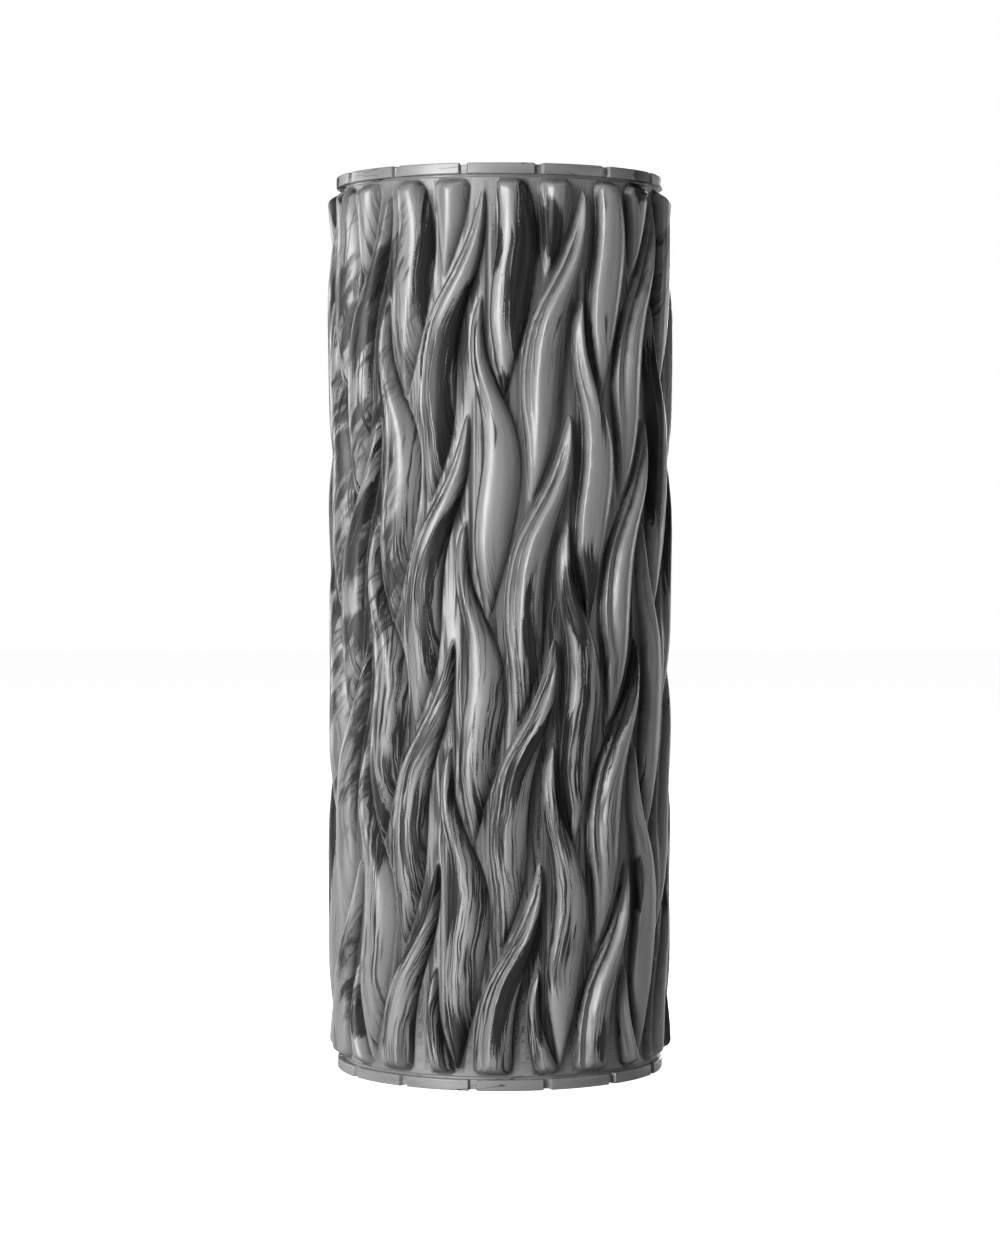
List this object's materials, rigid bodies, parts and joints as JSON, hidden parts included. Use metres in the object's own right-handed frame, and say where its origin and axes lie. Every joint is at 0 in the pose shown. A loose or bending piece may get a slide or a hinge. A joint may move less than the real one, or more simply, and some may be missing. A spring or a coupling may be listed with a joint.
{
  "type": "foam roller",
  "caption": "Hollow-core foam massage roller: a marbled foam sleeve moulded with flame-shaped ridges and a rim of flat pads at each end, bonded over a stiff plastic tube.",
  "frame": {"origin": "centre of the lower end face, on the roller's axis", "axes": "+Z along the roller's axis, upwards when it stands on end; -Y towards the viewer; +X to the viewer's right"},
  "size_m": [0.1282, 0.1282, 0.33],
  "materials": {
    "marbled_foam": "satin closed-cell foam, mid grey marbled with charcoal streaks along the ridges",
    "core_plastic": "fine matt black extruded plastic with faint lines along its length",
    "bond_adhesive": "dried contact adhesive, pale amber"
  },
  "bodies": {
    "root": {"foam_sleeve": "marbled_foam", "core_tube": "core_plastic", "bond_film": "bond_adhesive"}
  },
  "joints": []
}
